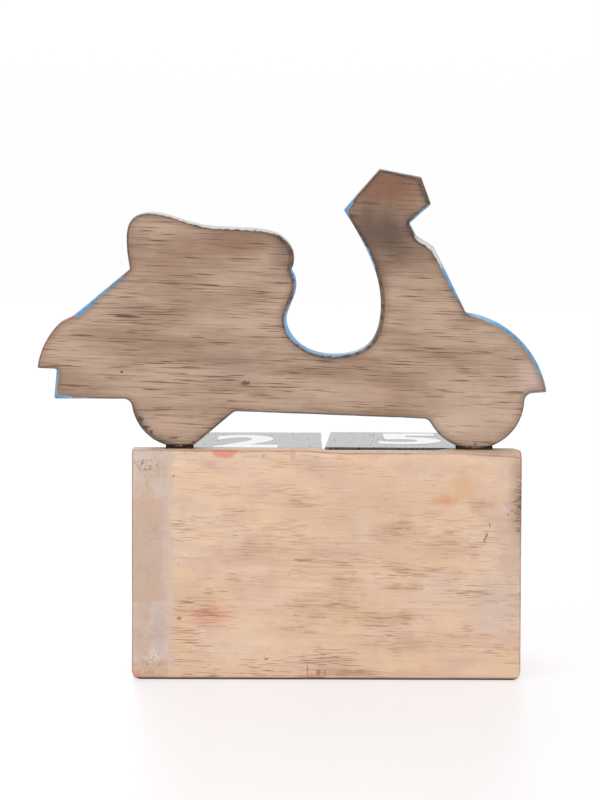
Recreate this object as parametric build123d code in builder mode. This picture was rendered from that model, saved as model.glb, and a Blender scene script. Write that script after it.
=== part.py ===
from build123d import *
import math
import os

# Wooden block calendar: a tray holds two number cubes on three month bars, and a
# scooter cut-out stands on the tray's back board. Millimetres, +Z up. The reader sits
# on the -Y side, so the bare wooden back faces +Y. The origin is the middle of the
# tray's footprint, on the table.

# Clearance where a piece goes into another or lies loose on it
fit_clearance = 0.05

# Number cubes
cube_size = 45.0
tens_cube_yaw = -2.4
cube_edge_radius = 0.6
units_cube_back_gap = 0.3
units_cube_side_gap = 1.1
tens_cube_back_gap = 0.5
tens_cube_side_gap = 1.3

# Month bars
bar_names = ["rear_month_bar", "middle_month_bar", "front_month_bar"]
bar_gap = 0.3
bar_end_gap = 1.0
bar_edge_radius = 0.6

# Tray boards
board_thickness = 11.0
floor_thickness = 8.9
board_rise_above_cubes = 0.5
tray_width_play = 5.0
tray_depth_play = 3.0
cheek_front_height = 30.0
cheek_sweep_depth = 5.0
board_edge_radius = 1.2

# Brads and the filler over their sunk heads
brad_length = 22.0
brad_shank_radius = 0.6
brad_head_radius = 1.1
brad_head_height = 0.5
brad_sink = 1.0
corner_brad_heights = [23.0, 52.0]
floor_brad_setback = 12.0

# Scooter cut-out
scooter_length = 153.0
scooter_height = 84.0
scooter_thickness = 6.5
scooter_front_inset = 0.3
scooter_edge_radius = 0.3
scooter_corner_radius = 0.5
wheel_radii = [14.4, 15.0]
wheel_gaps = [0.4, 0.05]
wheel_arch_radius = 2.5
flank_foot_reach = 4.6
flank_angle = 40.0

# Dowels and glue at the feet of the wheels
dowel_radius = 1.5
dowel_length = 18.0
dowel_hole_spare = 0.3
glue_lengths = [8.2, 11.0]
glue_heights = [1.3, 0.8]
glue_overhang = 0.25
glue_corner_radius = 0.6

# Outline of the scooter, tail on the left as seen from the back: each point is a share
# of the length from the tail and a share of the height above the wheels' feet.
outline_shares = {
    "tail_foot": (0.033, 0.177),
    "tail_notch": (0.038, 0.284),
    "lamp_tip": (0.000, 0.286),
    "lamp_bulge": (0.014, 0.373),
    "lamp_top": (0.047, 0.452),
    "lamp_end": (0.071, 0.473),
    "seat_heel": (0.182, 0.641),
    "seat_back": (0.175, 0.746),
    "seat_back_top": (0.186, 0.820),
    "seat_hump": (0.225, 0.843),
    "seat_slope": (0.284, 0.818),
    "seat_dip": (0.343, 0.795),
    "seat_front_top": (0.441, 0.784),
    "seat_front_turn": (0.484, 0.755),
    "seat_front": (0.503, 0.696),
    "seat_under": (0.498, 0.641),
    "cowl_bulge": (0.507, 0.568),
    "cowl_low": (0.489, 0.461),
    "well_turn": (0.514, 0.377),
    "well_floor": (0.586, 0.337),
    "well_rise": (0.651, 0.377),
    "shield_low": (0.673, 0.493),
    "shield_mid": (0.656, 0.668),
    "bar_left": (0.600, 0.854),
    "head_top_left": (0.670, 1.000),
    "head_top_right": (0.752, 0.971),
    "head_tip": (0.771, 0.877),
    "neck_notch": (0.729, 0.809),
    "horn": (0.743, 0.761),
    "shield_top": (0.777, 0.723),
    "shield_bottom": (0.841, 0.487),
    "fender_bulge": (0.949, 0.388),
    "fender_tip": (1.000, 0.205),
    "fender_under": (0.937, 0.196),
    "belly_front": (0.790, 0.107),
    "belly_rear": (0.349, 0.136),
    "rear_arch": (0.200, 0.177),
}
rear_wheel_share = 0.279
front_wheel_share = 0.858
sharp_corner_names = [
    "tail_foot",
    "tail_notch",
    "lamp_tip",
    "seat_heel",
    "seat_under",
    "bar_left",
    "head_top_left",
    "head_top_right",
    "head_tip",
    "neck_notch",
    "horn",
    "shield_top",
    "shield_bottom",
    "fender_tip",
]

# Sizes that follow from the ones above
bar_size = cube_size / len(bar_names)
tray_width = 2 * cube_size + tray_width_play
tray_depth = cube_size + tray_depth_play
base_width = tray_width + 2 * board_thickness
base_depth = tray_depth + board_thickness
bars_floor_z = floor_thickness + fit_clearance
cubes_floor_z = bars_floor_z + bar_size + fit_clearance
base_height = cubes_floor_z + cube_size + board_rise_above_cubes
bar_length = tray_width - 2 * bar_end_gap

tray_side_x = tray_width / 2
base_side_x = base_width / 2
base_back_y = base_depth / 2
base_front_y = -base_depth / 2
board_front_y = base_back_y - board_thickness
board_mid_y = base_back_y - board_thickness / 2
cheek_mid_x = tray_side_x + board_thickness / 2

# The scooter's own plane: local x runs towards the nose and local y upwards, with the
# origin on the back board's top, midway between the wheels.
half_wheelbase = scooter_length * (front_wheel_share - rear_wheel_share) / 2
mid_wheel_share = (front_wheel_share + rear_wheel_share) / 2
scooter_mid_y = board_front_y + scooter_front_inset + scooter_thickness / 2
scooter_plane = Plane(origin=(0, scooter_mid_y, base_height), x_dir=(-1, 0, 0), z_dir=(0, 1, 0))
wheel_names = ["rear_wheel", "front_wheel"]
foot_places = [-half_wheelbase, half_wheelbase]
wheel_centres = [
    (place, gap + radius) for place, gap, radius in zip(foot_places, wheel_gaps, wheel_radii)
]
rear_wheel_radius, front_wheel_radius = wheel_radii
arch_height = outline_shares["rear_arch"][1] * scooter_height
belly_height = outline_shares["belly_front"][1] * scooter_height
rear_belly_height = outline_shares["belly_rear"][1] * scooter_height

# The rear wheel's front flank is sawn straight: its reach and height from the wheel's foot
flank_rise = math.tan(math.radians(flank_angle))
flank_foot_height = wheel_centres[0][1] - math.sqrt(rear_wheel_radius**2 - flank_foot_reach**2)
flank_foot = (flank_foot_reach, flank_foot_height)
flank_side = (rear_wheel_radius, flank_foot_height + (rear_wheel_radius - flank_foot_reach) * flank_rise)
flank_top = (flank_foot_reach + (arch_height - flank_foot_height) / flank_rise, arch_height)
flank_belly_reach = flank_foot_reach + (rear_belly_height - flank_foot_height) / flank_rise
wheel_arch_places = [
    (-half_wheelbase - rear_wheel_radius, arch_height),
    (-half_wheelbase + flank_belly_reach, rear_belly_height),
    (half_wheelbase - front_wheel_radius, belly_height),
    (half_wheelbase + front_wheel_radius, arch_height),
]
foot_planes = [
    Plane(scooter_plane.from_local_coords((place, 0, 0)), x_dir=scooter_plane.x_dir, z_dir=(0, 0, 1))
    for place in foot_places
]

# Where the brads go in: each plane lies on a board's outer face and looks outwards
right_corner_planes = [
    Plane(origin=(base_side_x, board_mid_y, height), z_dir=(1, 0, 0)) for height in corner_brad_heights
]
left_corner_planes = [
    Plane(origin=(-cheek_mid_x, base_back_y, height), z_dir=(0, 1, 0)) for height in corner_brad_heights
]
floor_brad_places = [base_front_y + floor_brad_setback, board_front_y - floor_brad_setback]
right_floor_planes = [
    Plane(origin=(base_side_x, place, floor_thickness / 2), z_dir=(1, 0, 0)) for place in floor_brad_places
]
left_floor_planes = [
    Plane(origin=(-base_side_x, place, floor_thickness / 2), z_dir=(-1, 0, 0)) for place in floor_brad_places
]
all_brad_planes = right_corner_planes + left_corner_planes + right_floor_planes + left_floor_planes
brad_hole_radius = brad_shank_radius + fit_clearance
head_hole_radius = brad_head_radius + fit_clearance
head_hole_depth = brad_sink + brad_head_height
brad_hole_depth = brad_sink + brad_length

os.makedirs("parts", exist_ok=True)


def outline_point(name):
    length_share, height_share = outline_shares[name]
    return ((length_share - mid_wheel_share) * scooter_length, height_share * scooter_height)


def outline_points(*names):
    return [outline_point(name) for name in names]


# Back board: reaches over the left cheek's end and butts against the right cheek
with BuildPart() as back_board:
    with BuildSketch(Plane.XY):
        with Locations(((tray_side_x - base_side_x) / 2, board_mid_y)):
            Rectangle(tray_side_x + base_side_x, board_thickness)
    extrude(amount=base_height)
    rear_edges = back_board.faces().sort_by(Axis.Y)[-1].edges()
    fillet(rear_edges.sort_by(Axis.X)[:-1], board_edge_radius)
    with Locations(*left_corner_planes):
        CounterBoreHole(brad_hole_radius, head_hole_radius, head_hole_depth, brad_hole_depth)
    with Locations(*right_corner_planes):
        Hole(brad_hole_radius, brad_hole_depth)
    with Locations(*foot_planes):
        Hole(dowel_radius + fit_clearance, dowel_length / 2 + dowel_hole_spare)
back_board.part.label = "back_board"
export_step(back_board.part, "parts/back_board.step")


# Right cheek: runs through to the back, so its end grain shows beside the back board
with BuildPart() as right_cheek:
    with BuildSketch(Plane.YZ.offset(tray_side_x)):
        with BuildLine():
            Polyline(
                (board_front_y, base_height),
                (base_back_y, base_height),
                (base_back_y, 0),
                (base_front_y, 0),
                (base_front_y, cheek_front_height),
            )
            SagittaArc(
                (base_front_y, cheek_front_height), (board_front_y, base_height), -cheek_sweep_depth
            )
        make_face()
    extrude(amount=board_thickness)
    outer_edges = right_cheek.faces().sort_by(Axis.X)[-1].edges()
    rear_edges = right_cheek.faces().sort_by(Axis.Y)[-1].edges()
    rear_rim = rear_edges.sort_by(Axis.Z)[-1:] + rear_edges.sort_by(Axis.Z)[:1]
    fillet(outer_edges + rear_rim, board_edge_radius)
    with Locations(*right_corner_planes, *right_floor_planes):
        CounterBoreHole(brad_hole_radius, head_hole_radius, head_hole_depth, brad_hole_depth)
    # The rear wheel's dowel hole reaches this cheek only where the scooter is longer or the tray narrower
    with Locations(*foot_planes):
        Hole(dowel_radius + fit_clearance, dowel_length / 2 + dowel_hole_spare)
right_cheek.part.label = "right_cheek"
export_step(right_cheek.part, "parts/right_cheek.step")


# Left cheek: stops at the back board's inner face
with BuildPart() as left_cheek:
    with BuildSketch(Plane.YZ.offset(-base_side_x)):
        with BuildLine():
            Polyline(
                (board_front_y, base_height),
                (board_front_y, 0),
                (base_front_y, 0),
                (base_front_y, cheek_front_height),
            )
            SagittaArc(
                (base_front_y, cheek_front_height), (board_front_y, base_height), -cheek_sweep_depth
            )
        make_face()
    extrude(amount=board_thickness)
    outer_edges = left_cheek.faces().sort_by(Axis.X)[0].edges()
    fillet(outer_edges.sort_by(Axis.Y)[:-1], board_edge_radius)
    with Locations(*left_floor_planes):
        CounterBoreHole(brad_hole_radius, head_hole_radius, head_hole_depth, brad_hole_depth)
    with Locations(*left_corner_planes):
        Hole(brad_hole_radius, brad_hole_depth)
left_cheek.part.label = "left_cheek"
export_step(left_cheek.part, "parts/left_cheek.step")


# Floor board: closes the tray between the cheeks, flush with their undersides
with BuildPart() as floor_board:
    with BuildSketch(Plane.XY):
        with Locations((0, (base_front_y + board_front_y) / 2)):
            Rectangle(tray_width, tray_depth)
    extrude(amount=floor_thickness)
    with Locations(*right_floor_planes, *left_floor_planes):
        Hole(brad_hole_radius, brad_hole_depth)
floor_board.part.label = "floor_board"
export_step(floor_board.part, "parts/floor_board.step")


# Brads: a shank and a flat head each, sunk below the boards' faces
brad_groups = {
    "corner_brads": right_corner_planes + left_corner_planes,
    "floor_brads": right_floor_planes + left_floor_planes,
}
for brad_group, brad_planes in brad_groups.items():
    sunk_planes = [plane.offset(-brad_sink) for plane in brad_planes]
    with BuildPart() as brads:
        with BuildSketch(*sunk_planes):
            Circle(brad_shank_radius)
        extrude(amount=-brad_length)
        with BuildSketch(*sunk_planes):
            Circle(brad_head_radius)
        extrude(amount=-brad_head_height)
    brads.part.label = brad_group
    export_step(brads.part, "parts/" + brad_group + ".step")


# Filler plugs: level with the boards' faces
with BuildPart() as filler_plugs:
    with BuildSketch(*all_brad_planes):
        Circle(brad_head_radius)
    extrude(amount=-brad_sink)
filler_plugs.part.label = "filler_plugs"
export_step(filler_plugs.part, "parts/filler_plugs.step")


# Scooter board: one sawn outline with both wheels, held just clear of the back board
with BuildPart() as scooter_board:
    with BuildSketch(scooter_plane) as scooter_sketch:
        with BuildLine():
            Polyline(outline_points("rear_arch", "tail_foot", "tail_notch", "lamp_tip"))
            ThreePointArc(outline_points("lamp_tip", "lamp_bulge", "lamp_top"))
            Polyline(outline_points("lamp_top", "lamp_end", "seat_heel"))
            Spline(
                outline_points(
                    "seat_heel",
                    "seat_back",
                    "seat_back_top",
                    "seat_hump",
                    "seat_slope",
                    "seat_dip",
                    "seat_front_top",
                    "seat_front_turn",
                    "seat_front",
                    "seat_under",
                )
            )
            Spline(
                outline_points(
                    "seat_under",
                    "cowl_bulge",
                    "cowl_low",
                    "well_turn",
                    "well_floor",
                    "well_rise",
                    "shield_low",
                    "shield_mid",
                    "bar_left",
                )
            )
            Polyline(
                outline_points(
                    "bar_left",
                    "head_top_left",
                    "head_top_right",
                    "head_tip",
                    "neck_notch",
                    "horn",
                    "shield_top",
                    "shield_bottom",
                )
            )
            ThreePointArc(outline_points("shield_bottom", "fender_bulge", "fender_tip"))
            Polyline(
                outline_points("fender_tip", "fender_under", "belly_front", "belly_rear", "rear_arch")
            )
        make_face()
        for wheel_centre, wheel_radius in zip(wheel_centres, wheel_radii):
            with Locations(wheel_centre):
                Circle(wheel_radius)
        with Locations((-half_wheelbase, 0)):
            Polygon((0, arch_height), flank_top, flank_foot, align=None)
            Polygon(flank_foot, flank_side, (rear_wheel_radius, 0), align=None, mode=Mode.SUBTRACT)
        sketch_corners = scooter_sketch.vertices()
        arch_corners = [sketch_corners.sort_by_distance(place)[0] for place in wheel_arch_places]
        fillet(arch_corners, wheel_arch_radius)
        sharp_corners = [
            scooter_sketch.vertices().sort_by_distance(outline_point(name))[0] for name in sharp_corner_names
        ]
        fillet(sharp_corners, scooter_corner_radius)
    extrude(amount=scooter_thickness / 2, both=True)
    fillet(scooter_board.faces().sort_by(SortBy.AREA)[-2:].edges(), scooter_edge_radius)
    with Locations(*[Plane(foot.origin, z_dir=(0, 0, -1)) for foot in foot_planes]):
        Hole(dowel_radius + fit_clearance, dowel_length / 2 + dowel_hole_spare)
scooter_board.part.label = "scooter_board"
export_step(scooter_board.part, "parts/scooter_board.step")


# Wheel dowels: half in the wheel and half in the back board
# Wheel glue: a low pad that fills the gap under the wheel and holds its foot
for wheel_name, foot_plane, wheel_centre, wheel_radius, glue_length, glue_height in zip(
    wheel_names, foot_planes, wheel_centres, wheel_radii, glue_lengths, glue_heights
):
    with BuildPart() as wheel_dowel:
        with BuildSketch(foot_plane):
            Circle(dowel_radius)
        extrude(amount=dowel_length / 2, both=True)
    wheel_dowel.part.label = wheel_name + "_dowel"
    export_step(wheel_dowel.part, "parts/" + wheel_name + "_dowel.step")

    with BuildPart() as wheel_glue:
        with BuildSketch(foot_plane):
            RectangleRounded(glue_length, scooter_thickness + 2 * glue_overhang, glue_corner_radius)
            Circle(dowel_radius + fit_clearance, mode=Mode.SUBTRACT)
        extrude(amount=glue_height)
        with BuildSketch(scooter_plane):
            with Locations(wheel_centre):
                Circle(wheel_radius)
        extrude(amount=scooter_thickness / 2, both=True, mode=Mode.SUBTRACT)
    wheel_glue.part.label = wheel_name + "_glue"
    export_step(wheel_glue.part, "parts/" + wheel_name + "_glue.step")


# Number cubes: loose on the month bars, the tens cube turned a little in its bay
tens_half_turned = cube_size / 2 * (
    math.cos(math.radians(tens_cube_yaw)) + abs(math.sin(math.radians(tens_cube_yaw)))
)
units_cube_centre = (
    tray_side_x - units_cube_side_gap - cube_size / 2,
    board_front_y - units_cube_back_gap - cube_size / 2,
    cubes_floor_z,
)
tens_cube_centre = (
    tens_cube_side_gap + tens_half_turned - tray_side_x,
    board_front_y - tens_cube_back_gap - tens_half_turned,
    cubes_floor_z,
)
number_cubes = {
    "units_cube": Plane(units_cube_centre),
    "tens_cube": Plane(tens_cube_centre).rotated((0, 0, tens_cube_yaw)),
}
for cube_name, cube_plane in number_cubes.items():
    with BuildPart() as number_cube:
        with BuildSketch(cube_plane):
            Rectangle(cube_size, cube_size)
        extrude(amount=cube_size)
        fillet(number_cube.edges(), cube_edge_radius)
    number_cube.part.label = cube_name
    export_step(number_cube.part, "parts/" + cube_name + ".step")


# Month bars: three square bars side by side on the floor board, under the cubes
bar_z = bars_floor_z + bar_size / 2
for bar_place, bar_name in enumerate(bar_names):
    bar_y = board_front_y - bar_gap - bar_size / 2 - bar_place * (bar_size + bar_gap)
    with BuildPart() as month_bar:
        with BuildSketch(Plane((-bar_length / 2, bar_y, bar_z), x_dir=(0, 1, 0), z_dir=(1, 0, 0))):
            Rectangle(bar_size, bar_size)
        extrude(amount=bar_length)
        fillet(month_bar.edges(), bar_edge_radius)
    month_bar.part.label = bar_name
    export_step(month_bar.part, "parts/" + bar_name + ".step")
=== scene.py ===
import math

import bmesh
import bpy
import numpy as np
from mathutils import Matrix, Vector, geometry, kdtree, noise


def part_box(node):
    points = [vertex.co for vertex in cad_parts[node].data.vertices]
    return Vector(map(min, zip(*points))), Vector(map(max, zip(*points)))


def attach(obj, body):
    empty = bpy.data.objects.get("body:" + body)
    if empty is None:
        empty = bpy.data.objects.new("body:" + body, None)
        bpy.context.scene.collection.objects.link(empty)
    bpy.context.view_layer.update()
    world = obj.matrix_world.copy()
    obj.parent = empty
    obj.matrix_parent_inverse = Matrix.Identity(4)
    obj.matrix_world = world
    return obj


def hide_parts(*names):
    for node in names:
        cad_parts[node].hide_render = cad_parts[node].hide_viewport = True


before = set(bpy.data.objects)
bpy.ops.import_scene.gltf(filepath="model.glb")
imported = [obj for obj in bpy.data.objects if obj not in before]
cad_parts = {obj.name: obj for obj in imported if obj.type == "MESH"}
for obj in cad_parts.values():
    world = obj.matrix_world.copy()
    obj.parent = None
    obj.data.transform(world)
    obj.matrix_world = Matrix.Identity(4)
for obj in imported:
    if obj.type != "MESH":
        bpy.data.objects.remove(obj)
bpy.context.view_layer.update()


# Floor board: closes the tray between its two cheeks, level with their undersides.
# Pale sawn hardwood, glued and bradded in, with the tray's red paint on top and in front.
mm = 0.001
along_x, along_y, along_z = 0, 1, 2
board_grid = 1.6
board_unevenness = 0.08
board_wear = 0.2
unevenness_span = 19
wear_span = 5.5
fine_wear_span = 2.1
whole_arris = 0.293
sharp_turn = math.radians(40)


def tint(red, green, blue):
    """A colour as the eye sees it, 0 to 255, turned into the linear light that shaders take."""
    seen = [value / 255 for value in (red, green, blue)]
    linear = [value / 12.92 if value <= 0.04045 else ((value + 0.055) / 1.055) ** 2.4 for value in seen]
    return (*linear, 1.0)


def cad_corners(node):
    """The lowest and the highest corner of a CAD piece, in millimetres."""
    return [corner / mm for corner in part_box(node)]


def ruled_lines(low, high, low_rounding, high_rounding, step):
    """Grid lines from low to high: crowded where an end is rounded and even between."""
    crowding = (0.0, 0.35, 0.7, 1.0)
    start = [low + low_rounding * share for share in crowding] if low_rounding else [low]
    stop = [high - high_rounding * share for share in reversed(crowding)] if high_rounding else [high]
    count = max(1, round((stop[0] - start[-1]) / step))
    between = [start[-1] + (stop[0] - start[-1]) * line / count for line in range(1, count)]
    return start + between + stop


def planed_block(
    low,
    high,
    low_rounding,
    high_rounding,
    step=board_grid,
    unevenness=board_unevenness,
    wear=board_wear,
):
    """A closed block of quads in millimetres. Its rounded arrises are dulled unevenly by wear.

    Each rounding has one radius per axis, 0 where the block butts against another piece.
    The attribute arris is 1 on the arrises and 0 on the flats.
    """
    axes = range(3)
    lines = [ruled_lines(low[a], high[a], low_rounding[a], high_rounding[a], step) for a in axes]
    counts = [len(row) for row in lines]
    core_low = [low[a] + low_rounding[a] for a in axes]
    core_high = [high[a] - high_rounding[a] for a in axes]
    radius = max(*low_rounding, *high_rounding)
    block = bmesh.new()
    arris = block.verts.layers.float.new("arris")
    placed = {}

    def vertex(key):
        if key in placed:
            return placed[key]
        point = Vector([lines[a][key[a]] for a in axes])
        core = Vector([min(max(point[a], core_low[a]), core_high[a]) for a in axes])
        outward = point - core
        on_arris = 0.0
        if max(abs(part) for part in outward) > radius * 0.999:
            outward.normalize()
            on_arris = min(1.0, (1.0 - max(abs(part) for part in outward)) / whole_arris)
            point = core + outward * radius
            depth = unevenness * (0.5 + 0.5 * noise.noise(point / unevenness_span))
            rubbed = 0.3 + noise.noise(point / wear_span) + 0.5 * noise.noise(point / fine_wear_span)
            point -= outward * (depth + wear * on_arris * max(0.0, rubbed))
        placed[key] = block.verts.new(point)
        placed[key][arris] = on_arris
        return placed[key]

    for axis in axes:
        first, second = (axis + 1) % 3, (axis + 2) % 3
        for end, turned in ((0, True), (counts[axis] - 1, False)):
            for i in range(counts[first] - 1):
                for j in range(counts[second] - 1):
                    ring = []
                    for di, dj in ((0, 0), (1, 0), (1, 1), (0, 1)):
                        key = [0, 0, 0]
                        key[axis], key[first], key[second] = end, i + di, j + dj
                        ring.append(vertex(tuple(key)))
                    block.faces.new(reversed(ring) if turned else ring)
    return block


def brushed_on(block, cover):
    """Notes where paint was brushed on: cover gives 1 for painted and 0 for bare at a point."""
    paint = block.verts.layers.float.new("paint")
    for vert in block.verts:
        vert[paint] = cover(vert.co)


def step_up(value, start, full):
    """0 up to start, 1 from full on and a smooth way between, whichever of the two is greater."""
    share = min(1.0, max(0.0, (value - start) / (full - start)))
    return share * share * (3 - 2 * share)


def in_scene(name, data):
    """A new object in the scene, such as a mesh or a lamp."""
    made = bpy.data.objects.new(name, data)
    bpy.context.scene.collection.objects.link(made)
    return made


def set_in_place(name, shape, finishes, body, node=None):
    """Makes a piece of a shape in millimetres, and lets it ride on its body for its CAD node."""
    shape.normal_update()
    for face in shape.faces:
        face.smooth = True
    for edge in shape.edges:
        edge.smooth = edge.calc_face_angle(0.0) < sharp_turn
    mesh = bpy.data.meshes.new(name)
    shape.to_mesh(mesh)
    shape.free()
    mesh.transform(Matrix.Scale(mm, 4))
    for finish in finishes:
        mesh.materials.append(finish)
    piece = in_scene(name, mesh)
    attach(piece, body)
    if node:
        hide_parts(node)


class Finish:
    """A material being mixed. Most methods add a node and give back what comes out of it."""

    def __init__(self, name):
        self.material = bpy.data.materials.new(name)
        self.material.use_nodes = True
        self.tree = self.material.node_tree
        self.shader = self.tree.nodes["Principled BSDF"]
        self.place = self.scaled(self.node("ShaderNodeTexCoord", "Object"), (1 / mm,) * 3)
        self.colour = None
        self.tears = {}

    def feed(self, socket, value):
        if isinstance(value, bpy.types.NodeSocket):
            self.tree.links.new(value, socket)
        else:
            socket.default_value = value

    def node(self, kind, output, inputs=(), **settings):
        """Adds a node, feeds its inputs in their order or by name, and gives one of its outputs."""
        made = self.tree.nodes.new(kind)
        for setting, value in settings.items():
            setattr(made, setting, value)
        named = inputs if isinstance(inputs, dict) else dict(enumerate(inputs))
        for socket, value in named.items():
            self.feed(made.inputs[socket], value)
        return made.outputs[output]

    def scaled(self, vector, factors, shift=(0, 0, 0)):
        inputs = (vector, factors, shift)
        return self.node("ShaderNodeVectorMath", "Vector", inputs, operation="MULTIPLY_ADD")

    def turned(self, axis, degrees):
        """The place turned about an axis, for grain that runs askew."""
        inputs = {"Vector": self.place, "Axis": axis, "Angle": math.radians(degrees)}
        return self.node("ShaderNodeVectorRotate", "Vector", inputs, rotation_type="AXIS_ANGLE")

    def reach(self, vector):
        """How long a vector is."""
        return self.node("ShaderNodeVectorMath", "Value", (vector,), operation="LENGTH")

    def along(self, direction, start=(0, 0, 0), vector=None):
        """How far a place lies from start in a direction."""
        vector = self.place if vector is None else vector
        inputs = (self.scaled(vector, (1, 1, 1), [-part for part in start]), direction)
        return self.node("ShaderNodeVectorMath", "Value", inputs, operation="DOT_PRODUCT")

    def cloud(self, vector, detail=2.0, roughness=0.5):
        inputs = {"Vector": vector, "Scale": 1.0, "Detail": detail, "Roughness": roughness}
        return self.node("ShaderNodeTexNoise", "Fac", inputs)

    def mottle(self, density, shift=(0, 0, 0), detail=2.0, roughness=0.5):
        """Uneven blotches, so many to a millimetre: one number, or one for each axis."""
        factors = density if isinstance(density, tuple) else (density,) * 3
        return self.cloud(self.scaled(self.place, factors, shift), detail, roughness)

    def streaks(self, lines, axis, length, width, shift=0.0, detail=2.0, roughness=0.5):
        """Blotches drawn out along the lines of the grain, length by width millimetres each."""
        factors = [1 / width] * 3
        factors[axis] = 1 / length
        return self.cloud(self.scaled(lines, factors, (shift,) * 3), detail, roughness)

    def fade(self, value, low, high, at_low=0.0, at_high=1.0):
        """Turns a value from low to high into a smooth way from at_low to at_high."""
        inputs = (value, low, high, at_low, at_high)
        return self.node("ShaderNodeMapRange", "Result", inputs, interpolation_type="SMOOTHSTEP")

    def sum(self, operation, *values):
        return self.node("ShaderNodeMath", "Value", values, operation=operation)

    def both(self, first, second):
        """The share where two shares meet."""
        return self.sum("MULTIPLY", first, second)

    def mix(self, share, under, over):
        inputs = {"Factor": share, 6: under, 7: over}
        return self.node("ShaderNodeMix", 2, inputs, data_type="RGBA")

    def noted(self, name, output="Fac"):
        """What the mesh notes at each point under a name."""
        return self.node("ShaderNodeAttribute", output, attribute_name=name)

    def patch(self, centre, reach, blur=0.5, ragged=0.5, grain=2.5):
        """1 in the middle of a patch of that reach, fading out with a ragged border."""
        factors = [1 / part for part in reach]
        shift = [-middle / part for middle, part in zip(centre, reach)]
        away = self.reach(self.scaled(self.place, factors, shift))
        if grain not in self.tears:
            self.tears[grain] = self.mottle(1 / grain, detail=3)
        border = self.sum("MULTIPLY_ADD", self.tears[grain], 2 * ragged, 1 - ragged)
        return self.fade(self.sum("SUBTRACT", border, away), 0.0, blur)

    def lay(self, share, paint, strength=1.0):
        """Lays a paint over the colour so far, as thick as its share and its strength."""
        if strength < 1:
            share = self.both(share, strength)
        self.colour = self.mix(share, self.colour, paint)

    def relief(self, height, depth):
        """Raises the surface by a height from 0 to 1, in a depth of millimetres."""
        inputs = {"Distance": depth * mm, "Height": height}
        self.feed(self.shader.inputs["Normal"], self.node("ShaderNodeBump", "Normal", inputs))

    def coat(self, roughness, gloss=0.5):
        """Puts the colour on and gives the finished material."""
        self.feed(self.shader.inputs["Base Color"], self.colour)
        self.feed(self.shader.inputs["Roughness"], roughness)
        self.feed(self.shader.inputs["Specular IOR Level"], gloss)
        return self.material


wood_band = (32, 8)
wood_hairline = (26, 0.55)
dash_crowd = (24, 8)
dash_fading = (12, 1.6)


def sawn_wood(finish, lines, axis, tones, figure, strength, shift=0.0):
    """Colours a finish with soft bands, hairlines and dark pore dashes, and gives the dashes.

    The tones are the pale wood, the deep wood and the pores. A figure has its dashes' length and
    width, how much they crowd, how far they are thinned out and how strong its hairlines are.
    """
    pale, deep, pore = tones
    dash_length, dash_width, dash_crowding, dash_thinning, hair_strength = figure
    bands = finish.streaks(lines, axis, *wood_band, shift, detail=4, roughness=0.6)
    hairs = finish.streaks(lines, axis, *wood_hairline, shift, roughness=0.6)
    crowding = finish.streaks(lines, axis, *dash_crowd, shift + 7)
    dashes = finish.streaks(lines, axis, dash_length, dash_width, shift + 3, detail=1.5)
    crowded = finish.sum("MULTIPLY_ADD", crowding, dash_crowding, dashes)
    dash_limit = 0.5 + 0.5 * dash_crowding + dash_thinning
    pores = finish.fade(crowded, dash_limit, dash_limit + 0.07)
    fading = finish.streaks(lines, axis, *dash_fading, shift + 13)
    pores = finish.both(pores, finish.fade(fading, 0.36, 0.64, 0.25, 1.0))
    finish.colour = finish.mix(finish.fade(bands, 0.3, 0.7), pale, deep)
    finish.lay(finish.fade(hairs, 0.46, 0.78, 0.0, strength * hair_strength), pore)
    finish.lay(pores, pore, strength)
    return pores


tray_red = tint(188, 52, 42)
tray_deep_red = tint(150, 36, 32)
tray_tones = (tint(229, 201, 177), tint(218, 186, 161), tint(164, 116, 90))
tray_figure = (6.5, 0.25, 0.7, 0.115, 0.4)
wood_roughness = 0.65
paint_roughness = 0.38
paint_depth = 0.05


def red_over(finish, pores, gloss=0.5):
    """Red paint over bare wood where it was brushed on, chipped at the arrises. Gives the material."""
    ragged = finish.mottle(0.55, detail=3)
    chips = finish.mottle(0.9, (11, 5, 2), detail=4, roughness=0.65)
    worn = finish.both(finish.noted("arris"), finish.fade(chips, 0.45, 0.62))
    cover = finish.sum("MULTIPLY_ADD", ragged, 0.9, finish.noted("paint"))
    cover = finish.fade(finish.sum("SUBTRACT", cover, worn), 0.9, 1.0)
    brush_streaks = finish.streaks(finish.place, along_y, 25, 1.4, detail=3)
    red = finish.mix(finish.fade(brush_streaks, 0.35, 0.7), tray_red, tray_deep_red)
    finish.lay(cover, red)
    finish.relief(finish.sum("SUBTRACT", cover, pores), paint_depth)
    return finish.coat(finish.fade(cover, 0, 1, wood_roughness, paint_roughness), gloss)


floor_low, floor_high = cad_corners("floor_board")
floor_front_rounding = (0, 0.5, 0)
floor_unevenness = 0.02
floor_bare_foot = (0.4, 1.6)
floor_shape = planed_block(
    floor_low, floor_high, floor_front_rounding, (0, 0, 0), unevenness=floor_unevenness
)
brushed_on(floor_shape, lambda point: step_up(point.z, *floor_bare_foot))

floor_wood = Finish("floor_board_paint")
floor_pores = sawn_wood(floor_wood, floor_wood.place, along_x, tray_tones, tray_figure, 0.6)
floor_paint = red_over(floor_wood, floor_pores)
set_in_place("floor_board_painted", floor_shape, [floor_paint], "holder", "floor_board")


# Cheeks: the two side boards, sawn with a hollow sweep from the low front up to the back.
# Painted red, except that the right one runs through and shows its bare end at the back,
# rubbed with grey filler at the seam. Their tops and feet are worn.
cheek_rounding = 0.7
back_low, back_high = cad_corners("back_board")
right_low, right_high = cad_corners("right_cheek")
cheek_front_height = 30.0
cheek_height = right_high.z
sweep_front_y = right_low.y
sweep_back_y = cad_corners("left_cheek")[1].y
sweep_depth = 5.0
sweep_still_below = 6.0


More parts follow.
